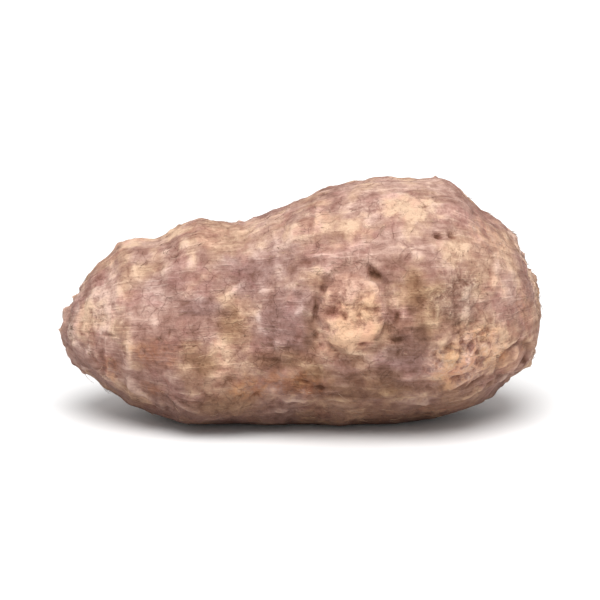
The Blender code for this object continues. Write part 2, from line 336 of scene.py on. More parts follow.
# Patches of skin that show from the front, by what is there. In millimetres, but for the last number:
# middle along the corm, middle above its lower edge, half width, half height, and how strong it is
PATCHES = {
    "bare": (
        (-41.6, 18.0, 3, 7, 0.7),
        (-39.3, 16.7, 2.6, 7, 0.7),
        (-38.8, 24.0, 3, 5, 0.8),
        (-33.5, 23.5, 4.5, 6.5, 0.9),
        (-31.5, 8.0, 3.5, 3.5, 0.8),
        (-26.5, 4.6, 4, 2, 0.6),
        (-25.8, 21.6, 4.5, 4.5, 0.8),
        (-25.6, 32.5, 9, 3.2, 0.9),
        (-24.6, 29.0, 9, 4, 0.6),
        (-20.5, 24.5, 3, 3, 0.4),
        (-18.8, 31.5, 5, 2.5, 0.5),
        (-14.6, 14.1, 4.2, 4, 0.5),
        (-7.0, 23.8, 2.5, 2.5, 0.4),
        (-4.6, 36.6, 9, 3, 0.7),
        (-4.0, 21.0, 7, 6, 0.2),
        (-3.0, 31.5, 8, 4.5, 0.45),
        (1.0, 5.2, 6, 1.6, 0.8),
        (3.0, 16.4, 2.5, 2, 0.5),
        (3.5, 35.0, 3, 2.5, 0.6),
        (8.0, 31.4, 5, 3, 0.4),
        (9.5, 29.3, 5, 3, 0.9),
        (12.2, 24.0, 2.5, 2.5, 0.6),
        (17.0, 38.3, 17, 6, 0.6),
        (17.0, 32.8, 4, 4, 0.9),
        (17.5, 42.6, 13, 6, 0.8),
        (20.0, 5.0, 4, 1.6, 1),
        (21.5, 12.8, 2, 2, 0.5),
        (26.0, 30.5, 4, 5, 0.6),
        (26.4, 12.0, 5, 4, 0.15),
        (35.5, 30.5, 5, 8, 0.5),
        (36.4, 24.1, 4, 6, 0.5),
    ),
    "mauve": (
        (-41.0, 18.5, 5, 9, 0.7),
        (-24.0, 24.5, 6, 4, 0.5),
        (-16.7, 20.9, 4, 2, 1),
        (-7.7, 27.2, 8, 4.5, 0.9),
        (-3.0, 30.4, 4, 2.5, 0.6),
        (-2.5, 18.8, 6, 6.5, 1),
        (17.5, 11.5, 7, 4.5, 1),
        (19.1, 15.1, 3.5, 3, 1),
        (27.5, 21.4, 5, 3.5, 0.9),
        (32.7, 33.0, 5, 7, 0.4),
    ),
    "dark": (
        (-26.0, 27.5, 2.5, 2, 0.4),
        (-17.2, 11.5, 3.4, 3, 0.9),
        (-13.0, 4.0, 5, 2.5, 0.6),
        (-12.2, 18.2, 3, 4, 0.8),
        (-2.5, 12.0, 6, 2.2, 0.8),
        (2.0, 16.7, 1.6, 4.5, 0.9),
        (3.0, 9.3, 3, 2.2, 1),
        (10.7, 7.0, 12, 4, 0.9),
        (11.7, 29.1, 3.5, 1.2, 0.15),
        (12.4, 20.3, 2, 1.8, 0.4),
        (14.5, 9.2, 5, 2.2, 1),
        (17.0, 27.7, 3.5, 3, 0.3),
        (17.2, 23.8, 2, 2, 0.5),
        (18.8, 15.4, 6, 4.5, 0.7),
        (20.1, 23.0, 2.6, 5, 1),
        (21.2, 16.6, 3, 2.4, 1),
        (25.4, 21.5, 7.5, 5.5, 0.9),
        (25.8, 12.8, 2.4, 2, 0.55),
        (28.0, 25.6, 4.6, 2.6, 0.45),
    ),
    "clay": (
        (-33.2, 10.7, 3, 3, 0.8),
        (-25.3, 13.3, 4.5, 3, 0.8),
        (-25.3, 6.7, 2.6, 1.4, 0.7),
        (-8.3, 7.0, 4.5, 2.6, 0.9),
        (-0.9, 7.5, 8, 3.2, 1),
        (27.5, 8.0, 5, 2.4, 0.5),
        (29.0, 11.5, 8, 6, 0.75),
        (33.5, 33.0, 5, 6, 0.45),
        (34.8, 12.2, 2.8, 2, 1),
        (38.5, 21.4, 2.2, 2.5, 0.5),
    ),
    "rough": (
        (-35.5, 20.0, 4, 6, 0.6),
        (9.5, 20.1, 5.5, 7, 0.6),
        (17.0, 38.3, 8, 4, 0.5),
        (27.5, 22.5, 6, 5.5, 0.6),
        (29.5, 12.3, 7.5, 5.5, 1),
    ),
}

# Patches drawn at random where the photograph doesn't show the skin: how many of each, and their sizes.
# The mother end, whose rim shows as pale and mauve, gets no dark, clay or rough one.
UNSEEN_PATCHES = {"bare": 12, "mauve": 11, "dark": 11, "clay": 9, "rough": 9}
PATCH_WIDTHS = 3.0, 9.0
PATCH_SHAPES = 0.5, 1.0
PATCH_AMOUNTS = 0.4, 0.9
PLAIN_END = -34.0 * MM

# Marks drawn at random there: how many, which ways they lie, half lengths, half widths, and height.
# The way that each lies is spread by this many degrees.
UNSEEN_MARKS = (
    (120, (0, 0, 90), (0.6, 2.2), (0.35, 0.7), -0.3),
    (120, (0, 90), (0.8, 3.0), (0.35, 0.9), 0.28),
)
TURN_SPREAD = 20

# A place counts as unseen where the skin is turned away or nearly edge-on to the camera, and it is
# farther than this from the floor.
EDGE_ON = -0.1
OFF_FLOOR = 3 * MM

# Marks: height and width of their bell as shares of what the lists say, and the lip round a hollow.
# A hollow of this depth, and a fleck of this height, has its full colour. A hollow's dark is partly
# painted shade.
MARK_HEIGHT = 1.5 * MM
MARK_WIDTH = 0.95
LIP = 1.6, 0.4
LIP_HEIGHT = 0.1 * MM
FULL_HOLLOW = 0.5
FULL_FLECK = 0.3

# Heights on the skin fade out where it comes this near the floor
NEAR_FLOOR = 0.1 * MM, 2.5 * MM

# How much paler or darker each mark makes the skin
TONES = {
    "worn": 0.12,
    "bare": 0.13,
    "scar": 0.07,
    "ring": 0.14,
    "fleck": 0.3,
    "dark": -0.16,
    # Painted shade in the creases between lumps
    "crease": -0.1,
    # Painted shade in the grooves behind the rings
    "groove": -0.15,
    "rough": -0.06,
}

# Hairs and fibres: spread of their headings in radians, and the shortest as a share of the longest. As
# shares of the length: how far they rise, and the spread of their curl. Then the number of parts of
# each, how deep it is rooted, how far it bows out and stays over the floor, and the height under which
# the corm has none. A fibre is this share as thick as a root hair, and both thin out by this share.
HEADING_SPREAD = 0.45
SHORTEST = 0.35
RISE = 0.04, 0.3
CURL_SPREAD = 0.3
STRAND_PARTS = 4
ROOT_DEPTH = 0.12 * MM
BOW = 0.1 * MM
OVER_FLOOR = 0.06 * MM
BARE_BELOW = 1 * MM
FIBRE_THICKNESS = 0.7
THINNING = 0.8


def smooth_step(edge_0, edge_1, value):
    t = min(max((value - edge_0) / (edge_1 - edge_0), 0.0), 1.0)
    return t * t * (3 - 2 * t)


def bell(value):
    return math.exp(-value * value)


def uneven(point, kind):
    """Smooth noise of about -1 to 1, of this kind."""
    size, number = FIELDS[kind]
    return noise.noise(point / size + NEXT_FIELD * number)


def scar_band(kind, far):
    """How much of a band round a bud scar is at this many radii from the scar's middle."""
    middle, half_width = SCAR_BANDS[kind]
    return bell((far - middle) / half_width)


def drawn_out(flow, share):
    """An unrolled place with its way along the corm cut to a share, so that noise there is drawn out."""
    return Vector((flow.x, flow.y, flow.z * share))


def only(obj):
    """Makes this object the one that operators act on."""
    bpy.ops.object.select_all(action="DESELECT")
    obj.select_set(True)
    bpy.context.view_layer.objects.active = obj


def apply_modifier(obj, kind, **settings):
    """Adds a modifier with these settings and applies it."""
    only(obj)
    modifier = obj.modifiers.new(kind.lower(), kind)
    for name, value in settings.items():
        setattr(modifier, name, value)
    bpy.ops.object.modifier_apply(modifier=modifier.name)


def column(items, name, width=1):
    """The values of one property of a mesh's points or faces, as an array."""
    found = np.empty(len(items) * width, np.float32)
    items.foreach_get(name, found)
    return found.reshape(-1, width) if width > 1 else found


# Form of the skin


def smooth_copy_of_node():
    """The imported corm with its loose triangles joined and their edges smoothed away."""
    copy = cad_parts[NODE].copy()
    copy.data = copy.data.copy()
    copy.name = "corm_to_wrap"
    copy.parent = None
    bpy.context.scene.collection.objects.link(copy)
    only(copy)
    bpy.ops.object.mode_set(mode="EDIT")
    bpy.ops.mesh.select_all(action="SELECT")
    bpy.ops.mesh.remove_doubles(threshold=0.001 * MM)
    bpy.ops.object.mode_set(mode="OBJECT")
    apply_modifier(copy, "SUBSURF", levels=2, render_levels=2)
    return copy


def add_even_ball(name, around, along, ends):
    """A ball drawn out to about the corm's shape, with even rows of points and its poles at the ends.

    Its flow attribute is the place of each point on an unrolled corm: two numbers round it, one along.
    """
    bpy.ops.object.select_all(action="DESELECT")
    bpy.ops.mesh.primitive_uv_sphere_add(
        segments=around, ring_count=along, radius=1, rotation=(0, math.radians(90), 0)
    )
    ball = bpy.context.object
    ball.name = ball.data.name = name
    bpy.ops.object.transform_apply(location=True, rotation=True, scale=True)
    places = column(ball.data.vertices, "co", 3).astype(np.float64)
    polar = np.arccos(np.clip(-places[:, 0], -1, 1))
    polar += ROWS_OFF_ENDS * np.sin(2 * polar)
    share, girth = -np.cos(polar), np.sin(polar)
    angle = np.arctan2(places[:, 2], -places[:, 1])
    half_length, radius = (HIGH.x - LOW.x) / 2, (HIGH.z - LOW.z) / 2
    end = np.where(share[:, None] < 0, ends[0][1:], ends[1][1:]) * MM
    middle = (0, radius) + (end - (0, radius)) * share[:, None] ** 2
    places[:, 0] = half_length * share
    places[:, 1] = middle[:, 0] - radius * girth * np.cos(angle)
    places[:, 2] = middle[:, 1] + radius * girth * np.sin(angle)
    ball.data.vertices.foreach_set("co", places.astype(np.float32).ravel())
    flow = np.stack([radius * np.cos(angle), radius * np.sin(angle), half_length * share], axis=1)
    attribute = ball.data.attributes.new("flow", "FLOAT_VECTOR", "POINT")
    attribute.data.foreach_set("vector", flow.astype(np.float32).ravel())
    ball.data.update()
    return ball


def wrap(skin, target):
    """Lays the skin on the target, first straight in or out and then onto the nearest place."""
    apply_modifier(
        skin,
        "SHRINKWRAP",
        target=target,
        wrap_method="PROJECT",
        use_negative_direction=True,
        use_positive_direction=True,
    )
    apply_modifier(skin, "SHRINKWRAP", target=target, wrap_method="NEAREST_SURFACEPOINT")
    apply_modifier(skin, "SMOOTH", factor=0.5, iterations=3)


def ring_places():
    """Distances of the rings from the mother end."""

    def gap(distance):
        return RING_GAP * math.sqrt(max(math.sin(math.pi * distance / BODY_LENGTH), LEAST_GIRTH))

    rings = [FIRST_RING]
    while rings[0] - gap(rings[0]) > 0:
        rings.insert(0, rings[0] - gap(rings[0]))
    while rings[-1] + gap(rings[-1]) < BODY_LENGTH:
        rings.append(rings[-1] + gap(rings[-1]))
    return rings


def past_ring(point, rings):
    """How far a point is past the nearest ring, and past the last one, towards the growing tip."""
    plain = point - MOVED
    distance = plain.x + BODY_LENGTH / 2 + uneven(plain, "ring wander") * RING_WANDER
    nearest = min(rings, key=lambda ring: abs(distance - ring))
    behind = max((ring for ring in rings if ring <= distance), default=0.0)
    return distance - nearest, distance - behind


class Place:
    """A place on the skin, with directions along the corm, round it and out of it."""

    def __init__(self, point, out):
        self.point = point
        self.out = out.normalized()
        along = Vector((1, 0, 0)) - self.out * self.out.x
        self.along = along.normalized()
        self.round = self.out.cross(self.along)

    def reach(self, point, half_along, half_round, turn=0.0):
        """How far a point is from the middle of an oval at this place: 1 is on its edge."""
        offset = point - self.point
        depth = offset.dot(self.out) / max(half_along, half_round)
        along, around = offset.dot(self.along), offset.dot(self.round)
        cos, sin = math.cos(turn), math.sin(turn)
        length = (along * cos + around * sin) / half_along
        width = (around * cos - along * sin) / half_round
        return math.sqrt(length**2 + width**2 + depth**2)


class Surface:
    """The skin's points, with what is found on each of them.

    Rays that find what shows from the front start on the camera's side, this far away.
    """

    MASKS = (*UNSEEN_PATCHES, "worn", "crease", "ring", "groove", "scar", "hollow", "fleck")
    CAMERA_SIDE = 0.2

    def __init__(self, skin):
        self.mesh = skin.data
        self.points = [vertex.co.copy() for vertex in self.mesh.vertices]
        self.outs = [normal.vector.copy() for normal in self.mesh.vertex_normals]
        self.flow = [Vector(row) for row in column(self.mesh.attributes["flow"].data, "vector", 3)]
        self.height = [0.0] * len(self.points)
        self.masks = {name: [0.0] * len(self.points) for name in self.MASKS}
        self.tree = KDTree(len(self.points))
        for i, point in enumerate(self.points):
            self.tree.insert(point, i)
        self.tree.balance()
        corners = [tuple(face.vertices) for face in self.mesh.polygons]
        self.faces = BVHTree.FromPolygons(self.points, corners)
        self.up = Vector((0, math.sin(VIEW_ELEVATION), math.cos(VIEW_ELEVATION)))
        self.ahead = Vector((0, math.cos(VIEW_ELEVATION), -math.sin(VIEW_ELEVATION)))
        self.lowest = min(point.dot(self.up) for point in self.points)

    def at(self, point):
        """The place on the skin nearest to a point."""
        found, out, _, _ = self.faces.find_nearest(point)
        return Place(found, out)

    def at_front(self, along, above):
        """The place that shows from the front, in millimetres along the corm and above its lower edge."""
        start = Vector((along * MM, 0, 0)) + self.up * (self.lowest + above * MM)
        start -= self.ahead * self.CAMERA_SIDE
        found, out, _, _ = self.faces.ray_cast(start, self.ahead)
        if found is None:
            return self.at(start + self.ahead * self.CAMERA_SIDE)
        return Place(found, out)

    def unseen(self, draw):
        """A random place that the photograph doesn't show, off the spot that the corm rests on."""
        while True:
            i = draw.randrange(len(self.points))
            if self.outs[i].dot(self.ahead) > EDGE_ON and self.points[i].z > OFF_FLOOR:
                return Place(self.points[i], self.outs[i])

    def near(self, place, distance):
        return [(i, self.points[i]) for _, i, _ in self.tree.find_range(place.point, distance)]

    def cover(self, name, i, amount):
        """Raises a mask at a point to at least this much."""
        self.masks[name][i] = max(self.masks[name][i], min(amount, 1.0))

    def write(self):
        """Moves the points out by their heights and stores the masks as attributes."""
        for i, vertex in enumerate(self.mesh.vertices):
            shown = smooth_step(*NEAR_FLOOR, self.points[i].z)
            moved = self.points[i] + self.outs[i] * self.height[i] * shown
            vertex.co = (moved.x, moved.y, max(moved.z, 0.0))
        for name, values in self.masks.items():
            attribute = self.mesh.attributes.new(name, "FLOAT", "POINT")
            attribute.data.foreach_set("value", values)
        self.mesh.update()


def lay_patches(surface, draw):
    """Marks the patches of bare, mauve, dark, clay-stained and rough skin."""
    patches = [
        (surface.at_front(along, above), half_width * MM, half_height * MM, kind, amount)
        for kind, group in PATCHES.items()
        for along, above, half_width, half_height, amount in group
    ]
    for kind, count in UNSEEN_PATCHES.items():
        for _ in range(count):
            half_width = draw.uniform(*PATCH_WIDTHS) * MM
            half_height = half_width * draw.uniform(*PATCH_SHAPES)
            place, amount = surface.unseen(draw), draw.uniform(*PATCH_AMOUNTS)
            if kind in ("bare", "mauve") or place.point.x > PLAIN_END:
                patches.append((place, half_width, half_height, kind, amount))
    for place, half_width, half_height, kind, amount in patches:
        for i, point in surface.near(place, 1.8 * max(half_width, half_height)):
            far = place.reach(point, half_width, half_height)
            far += 0.45 * uneven(point, "patch edge") + 0.25 * uneven(point, "fine patch edge")
            surface.cover(kind, i, amount * (1 - smooth_step(0.3, 1.35, far)))


def scar_reach(place, point, half_along, half_round):
    """How far a point is from the middle of a bud scar, by the scar's own uneven outline."""
    far = place.reach(point, half_along, half_round)
    return far * (1 + SCAR_UNEVEN * noise.noise((point - MOVED) / SCAR_UNEVEN_SIZE))


def lay_scars(surface):
    """Shapes the bud scars finely. Returns how much of the rings and plain skin shows at each point."""
    shows = [1.0] * len(surface.points)
    for middle, half_along, half_round in BUD_SCARS.values():
        place = surface.at(Vector(middle) * MM)
        for i, point in surface.near(place, 2.4 * max(half_along, half_round)):
            far = scar_reach(place, point, half_along, half_round)
            edge = far + 0.09 * uneven(point, "pad edge")
            pad = 1 - smooth_step(*PAD_EDGE, edge)
            crumpled = uneven(point, "pad crumple") + 0.5 * uneven(point, "fine pad crumple")
            furrow = scar_band("furrow", edge)
            moat = scar_band("moat", edge) * (0.75 + 0.7 * uneven(point, "moat"))
            rim = scar_band("rim", edge) * smooth_step(-0.3, 0.3, uneven(point, "scar rim"))
            circles = math.cos(far * CIRCLE_RATE + 2.5 * uneven(point, "circles"))
            circles *= scar_band("circles", far)
            surface.height[i] += PAD_CRUMPLE * pad * crumpled - FURROW_DEPTH * furrow
            surface.height[i] += CIRCLE_HEIGHT * circles
            surface.cover("scar", i, pad)
            surface.cover("dark", i, 0.5 * moat)
            # The furrow round a bud scar is darkened as a hollow, partly as painted shade
            surface.cover("hollow", i, furrow * (0.1 + 0.5 * uneven(point, "furrow")))
            surface.cover("ring", i, 0.55 * rim)
            shows[i] *= smooth_step(0.95, 1.35, far)
    return shows


def lay_rings(surface, shows, ridge):
    """The ring edges, the grooves behind them, which are darkened as painted shade, and the combs of
    fibres past them.

    Returns how much of a ring's edge is at each point.
    """
    rings = ring_places()
    edges = []
    for i, point in enumerate(surface.points):
        flow = surface.flow[i]
        off_middle = abs(point.x)
        offset, behind = past_ring(point, rings)
        offset += RING_WOBBLE * uneven(flow, "ring wobble")
        clear = uneven(flow, "clear rings") + 0.35 * uneven(flow, "fine clear rings")
        clear = smooth_step(-0.2, 0.5, clear) * (0.45 + 0.55 * smooth_step(*CLEARER, off_middle))
        hidden = smooth_step(EDGE_ON, 0.5, surface.outs[i].dot(surface.ahead))
        clear = max(clear, hidden * (0.7 + 0.5 * uneven(flow, "hidden rings")))
        edge = bell(offset / RING_WIDTH) * clear
        groove = bell((offset + GROOVE_BEHIND) / GROOVE_WIDTH) * clear * shows[i]
        comb = max(uneven(drawn_out(flow, 0.14), "comb"), 0.0)
        comb *= 0.7 * bell(behind / COMB_LENGTH) * (0.4 + 0.6 * clear)
        comb *= smooth_step(*COMBLESS, off_middle)
        raised = max(edge, comb) * shows[i]
        low = 0.25 + 0.75 * smooth_step(*LOWER, off_middle)
        surface.height[i] += ridge * low * (raised - 0.5 * groove)
        surface.cover("ring", i, raised)
        # Painted shade in the groove behind each ring
        surface.cover("groove", i, groove)
        edges.append(edge)
    return edges


def lay_paper(surface, shows, edges, settings):
    """The papery outer skin with its worn places, and wrinkles along the corm."""
    bare, mauve = surface.masks["bare"], surface.masks["mauve"]
    for i, point in enumerate(surface.points):
        lengthwise = drawn_out(surface.flow[i], 0.2)
        worn = 0.75 * uneven(point, "large worn") + 0.6 * uneven(point, "worn")
        worn += 0.4 * uneven(point, "fine worn") + 0.3 * uneven(lengthwise, "worn streaks")
        worn += 0.8 * bare[i] - 0.35 * mauve[i] + 0.35 * edges[i] - 0.1
        worn = smooth_step(-0.3, 0.35, worn)
        wrinkle = uneven(lengthwise, "wrinkles") + 0.6 * uneven(lengthwise, "fine wrinkles")
        surface.height[i] += shows[i] * (settings.skin_layer * (1 - worn) + settings.wrinkle * wrinkle)
        surface.cover("worn", i, worn * shows[i])


def lay_lumps(surface, shows, lump_height):
    """Low lumps with creases between them, crumples in the rough patches, and grit all over. The creases
    and the crumples' gaps are painted darker as shade, and the crumples' tops paler as light.
    """
    rough = surface.masks["rough"]
    for i, point in enumerate(surface.points):
        bent = point + noise.noise_vector(point / BEND_SIZE) * BEND
        large, small = abs(uneven(bent, "large lumps")), abs(uneven(bent, "small lumps"))
        lumps = large + 0.25 * small + 0.35 * uneven(bent, "swell") - 0.3
        crease = 0.6 * (1 - smooth_step(0.0, 0.13, large)) + 0.4 * (1 - smooth_step(0.0, 0.16, small))
        crumples = uneven(bent, "crumples") + 0.5 * uneven(bent, "fine crumples")
        surface.height[i] += (0.35 + 0.65 * shows[i]) * lump_height * lumps
        surface.height[i] += CRUMPLE_HEIGHT * rough[i] * crumples
        surface.height[i] += GRIT_HEIGHT * uneven(point, "grit")
        # Painted shade: the creases between the lumps are darkened
        surface.cover("crease", i, crease * (0.4 + 0.6 * shows[i]))
        # Painted light and shade of the crumples: their gaps are darkened as hollows and their tops paled
        # as flecks
        surface.cover("hollow", i, 0.85 * rough[i] * smooth_step(-0.05, -0.4, crumples))
        surface.cover("fleck", i, 0.4 * rough[i] * smooth_step(0.05, 0.35, crumples))


def lay_marks(surface, draw):
    """Hollows and raised flecks, where they show from the front and at random where nothing shows."""
    marks = [
        (surface.at_front(along, above), half_length, half_width, turn, sign * height)
        for sign, groups in ((-1, HOLLOWS), (1, RAISED))
        for group in groups.values()
        for along, above, half_length, half_width, turn, height in group
    ]
    for count, turns, half_lengths, half_widths, height in UNSEEN_MARKS:
        for _ in range(count):
            turn = draw.choice(turns) + draw.gauss(0, TURN_SPREAD)
            place = surface.unseen(draw)
            marks.append((place, draw.uniform(*half_lengths), draw.uniform(*half_widths), turn, height))
    for place, half_length, half_width, turn, height in marks:
        for i, point in surface.near(place, 2.4 * max(half_length, half_width) * MM):
            far = place.reach(point, half_length * MM, half_width * MM, math.radians(turn))
            far *= 1 + 0.45 * uneven(point, "mark edge")
            shape = bell(far / MARK_WIDTH)
            surface.height[i] += MARK_HEIGHT * height * shape
            if height < 0:
                surface.height[i] += LIP_HEIGHT * bell((far - LIP[0]) / LIP[1])
                # Hollows are darkened: partly the pits' own dark brown, partly painted shade in them
                surface.cover("hollow", i, shape * min(-height / FULL_HOLLOW, 1.0))
            else:
                surface.cover("fleck", i, shape * min(height / FULL_FLECK, 1.0))


# Looks


class Wire:
    """The output of a shader node. Sums and products of wires add the nodes that work them out."""

    def __init__(self, tree, socket=None):
        self.tree = tree
        self.socket = socket

    def node(self, kind, settings, values, output=0):
        """Adds a node, makes its settings, and sets or links its inputs. Returns an output's wire."""
        made = self.tree.nodes.new(kind)
        for name, value in settings.items():
            if name == "stops":
                set_stops(made.color_ramp, value)
            else:
                setattr(made, name, value)
        for name, value in values.items():
            if isinstance(value, Wire):
                self.tree.links.new(value.socket, made.inputs[name])
            else:
                made.inputs[name].default_value = value
        return Wire(self.tree, made.outputs[output])

    def attribute(self, name, output):
        return self.node("ShaderNodeAttribute", {"attribute_name": name}, {}, output)

    def maths(self, operation, *values):
        return self.node("ShaderNodeMath", {"operation": operation}, dict(enumerate(values)))

    def __add__(self, other):
        return self.maths("ADD", self, other)

    def __radd__(self, other):
        return self.maths("ADD", other, self)

    def __sub__(self, other):
        return self.maths("SUBTRACT", self, other)

    def __rsub__(self, other):
        return self.maths("SUBTRACT", other, self)

    def __mul__(self, other):
        return self.maths("MULTIPLY", self, other)

    def __rmul__(self, other):
        return self.maths("MULTIPLY", other, self)

    def step(self, low, high):
        """Goes smoothly from 0 to 1 while this wire goes from low to high."""
        return self.node(
            "ShaderNodeMapRange",
            {"interpolation_type": "SMOOTHSTEP"},
            {"Value": self, "From Min": low, "From Max": high},
        )

    def stained(self, colour, amount):
        """This colour, multiplied by another by an amount from 0 to 1."""
        settings = {"data_type": "RGBA", "blend_type": "MULTIPLY"}
        return self.node("ShaderNodeMix", settings, {0: amount, 6: self, 7: opaque(colour)}, 2)

    def scaled(self, amount):
        """This colour or place, multiplied by a number."""
        return self.node("ShaderNodeVectorMath", {"operation": "SCALE"}, {0: self, "Scale": amount})

    def stretched(self, along):
        """These unrolled places, with the one along the corm made longer or shorter."""
        values = {0: self, 1: (1.0, 1.0, along)}
        return self.node("ShaderNodeVectorMath", {"operation": "MULTIPLY"}, values)

    def bent(self, amount, size):
        """These places, each moved a little way by noise with swellings of this size."""
        values = {"Vector": self, "Scale": 1 / size, "Detail": 1.0}
        moved = self.node("ShaderNodeTexNoise", {}, values, 1).scaled(amount)
        return self.node("ShaderNodeVectorMath", {"operation": "ADD"}, {0: self, 1: moved})

    def clouds(self, size, detail=3.0, roughness=0.55, distortion=0.0):
        """Noise at these places, with swellings of this size."""
        values = {"Vector": self, "Scale": 1 / size, "Detail": detail}
        values |= {"Roughness": roughness, "Distortion": distortion}
        return self.node("ShaderNodeTexNoise", {}, values)

    def cells(self, size, feature="F1"):
        """How far these places are from the middle of their cell, or from its edge, in cells."""
        values = {"Vector": self, "Scale": 1 / size}
        return self.node("ShaderNodeTexVoronoi", {"feature": feature}, values)


def opaque(colour):
    """A colour of the settings, with an alpha of 1."""
    return (*colour, 1.0)


def set_stops(ramp, stops):
    """Gives a colour ramp these stops, each a place and a colour."""
    while len(ramp.elements) < len(stops):
        ramp.elements.new(1.0)
    for element, (place, colour) in zip(ramp.elements, stops):
        element.position = place
        element.color = colour


def new_look(name):
    """A new material, its Principled shader, and a wire to start from."""
    material = bpy.data.materials.new(name)
    material.use_nodes = True
    return material, material.node_tree.nodes["Principled BSDF"], Wire(material.node_tree)


def skin_look(colours):
    """Dry skin: a papery outer layer, worn through to a paler one, with rings, scars, pits and clay, with
    painted shade in its recesses and underneath and painted light and shade on its bumps.
    """
    material, shader, wire = new_look("taro_skin")
    mask = {name: wire.attribute(name, "Fac") for name in Surface.MASKS}
    place = wire.node("ShaderNodeTexCoord", {}, {}, "Object")
    flow = wire.attribute("flow", "Vector")
    height = wire.node("ShaderNodeSeparateXYZ", {}, {0: place}, "Z")

    broad = place.clouds(9.0 * MM, 2.0)
    blotch = place.clouds(3.4 * MM, 5.0, 0.6, 0.8)
    crumb = place.clouds(1.3 * MM, 4.0, 0.6, 0.5)
    grain = place.clouds(0.45 * MM, 2.0, 0.6)
    strand = flow.stretched(0.2).clouds(1.2 * MM, 5.0, 0.65, 0.6)
    fold = 2.0 * (place.clouds(1.9 * MM, 3.0, 0.6, 0.8) - 0.5).maths("ABSOLUTE")
    fibre = flow.stretched(0.1).clouds(0.55 * MM, 2.0, 0.5).step(0.56, 0.7)
    crack = 1 - place.bent(1.6 * MM, 1.5 * MM).cells(2.6 * MM, "DISTANCE_TO_EDGE").step(0.0, 0.05)
    crack = crack * place.clouds(5.0 * MM, 2.0).step(0.45, 0.6)
    pores = (1 - place.cells(1.2 * MM).step(0.08, 0.2)) * broad.step(0.42, 0.6)
    rosy = place.clouds(5.5 * MM, 3.0, 0.6, 0.5).step(0.5, 0.64)
    patchy = (0.7 * broad + 0.3 * blotch).step(0.42, 0.58)
    # How low a place is on the corm. It darkens the underside as painted shade, with a little soil stain,
    # and brings some clay there
    low = 1 - height.step(1.0 * MM, 16.0 * MM)

    calm = 0.65 * mask["mauve"] + 0.4 * mask["dark"] + 0.35 * mask["clay"]
    calm = calm.maths("MINIMUM", 0.75)
    # The tone goes with the same noises as the bump below, so raised places are painted paler and low ones
    # darker: partly the skin's own blotches, partly painted light and shade of the relief
    fine = 1.0 * (blotch - 0.5) + 0.75 * (crumb - 0.5) + 0.35 * (grain - 0.5) + 0.35 * (fold - 0.2)
    tone = 0.252 + 0.5 * (broad - 0.5) + 0.4 * (strand - 0.5)
    tone = tone + fine * (1 - calm + 1.1 * mask["rough"]) + 0.1 * fibre - 0.08 * crack - 0.1 * pores
    for name, change in TONES.items():
        tone = tone + change * mask[name]
    # The hollows darken the skin towards the hollow colour: partly the own dark brown of pits and slits,
    # partly painted shade in them, in the scar furrows and in the crumples' gaps
    hollow = mask["hollow"] + 1.4 * (crumb - 0.5) * mask["hollow"].step(0.0, 0.3)
    tone = tone - 0.36 * hollow.step(0.12, 1.0)

    stops = (
        (0.05, opaque(colours.hollow)),
        (0.19, opaque(colours.brown)),
        (0.36, opaque(colours.tan)),
        (0.52, opaque(colours.pale)),
        (0.72, opaque(colours.fleck)),
    )
    skin = wire.node("ShaderNodeValToRGB", {"stops": stops}, {0: tone})
    stains = (
        (colours.beige, patchy * (1 - mask["mauve"])),
        (colours.mauve, mask["mauve"]),
        (colours.rose, rosy * (1 - 0.6 * mask["dark"])),
        (colours.peach, mask["scar"]),
        (colours.clay, (1.2 * mask["clay"] + 0.4 * low * patchy) * crumb.step(0.3, 0.6)),
        (colours.olive, mask["dark"]),
        # Painted shade: darkens the skin towards the bottom of the corm, with a little soil stain
        (colours.underside_shade_and_dirt, low),
    )
    for colour, amount in stains:
        skin = skin.stained(colour, amount)
    material.node_tree.links.new(skin.socket, shader.inputs["Base Color"])

    dull = 0.68 + 0.16 * mask["worn"] + 0.25 * (crumb - 0.5)
    material.node_tree.links.new(dull.socket, shader.inputs["Roughness"])
    shader.inputs["Specular IOR Level"].default_value = 0.25

    # Made of the same noises as the tone above, whose pale tops and dark lows are partly painted light and
    # shade of this relief
    relief = 0.55 * blotch + 0.4 * crumb + 0.16 * grain + 0.36 * strand + 0.4 * fold - 0.1 * pores
    relief = relief + 0.06 * fibre - 0.08 * crack + 0.5 * (blotch + crumb) * mask["rough"]
    bump = wire.node("ShaderNodeBump", {}, {"Height": relief * MM, "Strength": 1.0, "Distance": 1.0})
    material.node_tree.links.new(bump.socket, shader.inputs["Normal"])
    return material


def hair_look(colours):
    """Dry brown roots and leaf fibres, paler on some."""
    material, shader, wire = new_look("taro_fibre")
    place = wire.node("ShaderNodeTexCoord", {}, {}, "Object")
    pale = place.clouds(3.0 * MM, 2.0).step(0.4, 0.65)
    ends = {0: pale, 6: opaque(colours.hair), 7: opaque(colours.pale_hair)}
    hair = wire.node("ShaderNodeMix", {"data_type": "RGBA"}, ends, 2)
    hair = hair.scaled(0.7 + 0.6 * place.clouds(0.8 * MM, 2.0))
    material.node_tree.links.new(hair.socket, shader.inputs["Base Color"])
    material.node_tree.links.new((0.7 + 0.15 * pale).socket, shader.inputs["Roughness"])
    return material


# Hairs and fibres


def strands_object(name, strands, thickness):
    """A mesh of thin round strands, each a list of points that it follows, thinning out to its end."""
    curve = bpy.data.curves.new(name, "CURVE")
    curve.dimensions = "3D"
    curve.bevel_depth = thickness
    curve.bevel_resolution = 0
    curve.use_fill_caps = True
    for points in strands:
        spline = curve.splines.new("POLY")
        spline.points.add(len(points) - 1)
        for i, point in enumerate(points):
            spline.points[i].co = (*point, 1)
            spline.points[i].radius = 1 - THINNING * i / (len(points) - 1)
    strand = bpy.data.objects.new(name, curve)
    bpy.context.scene.collection.objects.link(strand)
    only(strand)
    bpy.ops.object.convert(target="MESH")
    return bpy.context.object


